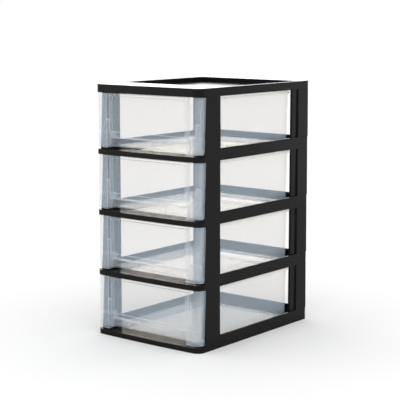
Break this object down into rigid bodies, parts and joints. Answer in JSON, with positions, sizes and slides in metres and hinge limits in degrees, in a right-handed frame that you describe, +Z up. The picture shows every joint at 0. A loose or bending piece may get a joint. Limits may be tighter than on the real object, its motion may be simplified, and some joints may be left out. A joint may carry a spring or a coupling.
{
  "type": "plastic drawer tower",
  "caption": "Free-standing tower of clear pull-out drawers in a black frame of stacked ring frames and corner posts, with a sunken tray on top.",
  "frame": {"origin": "middle of the footprint's bounding box, on the floor", "axes": "+Z up; the drawers open along -Y, so the bowed front faces -Y; +X to the right seen from the front"},
  "size_m": [0.26, 0.358, 0.494],
  "materials": {
    "black_plastic": "satin",
    "clear_plastic": "smooth, translucent"
  },
  "bodies": {
    "frame": {"top_frame": "black_plastic", "shelf_frame_1": "black_plastic", "shelf_frame_2": "black_plastic", "shelf_frame_3": "black_plastic", "base_frame": "black_plastic", "front_left_post_1": "black_plastic", "front_right_post_1": "black_plastic", "rear_left_post_1": "black_plastic", "rear_right_post_1": "black_plastic", "front_left_post_2": "black_plastic", "front_right_post_2": "black_plastic", "rear_left_post_2": "black_plastic", "rear_right_post_2": "black_plastic", "front_left_post_3": "black_plastic", "front_right_post_3": "black_plastic", "rear_left_post_3": "black_plastic", "rear_right_post_3": "black_plastic", "front_left_post_4": "black_plastic", "front_right_post_4": "black_plastic", "rear_left_post_4": "black_plastic", "rear_right_post_4": "black_plastic"},
    "drawer_1": {"drawer_1": "clear_plastic"},
    "drawer_2": {"drawer_2": "clear_plastic"},
    "drawer_3": {"drawer_3": "clear_plastic"},
    "drawer_4": {"drawer_4": "clear_plastic"}
  },
  "joints": [
    {"name": "drawer_1_slide", "type": "slide", "parent": "frame", "child": "drawer_1", "axis": [0, -1, 0], "range_m": [0, 0.222]},
    {"name": "drawer_2_slide", "type": "slide", "parent": "frame", "child": "drawer_2", "axis": [0, -1, 0], "range_m": [0, 0.222]},
    {"name": "drawer_3_slide", "type": "slide", "parent": "frame", "child": "drawer_3", "axis": [0, -1, 0], "range_m": [0, 0.222]},
    {"name": "drawer_4_slide", "type": "slide", "parent": "frame", "child": "drawer_4", "axis": [0, -1, 0], "range_m": [0, 0.222]}
  ]
}
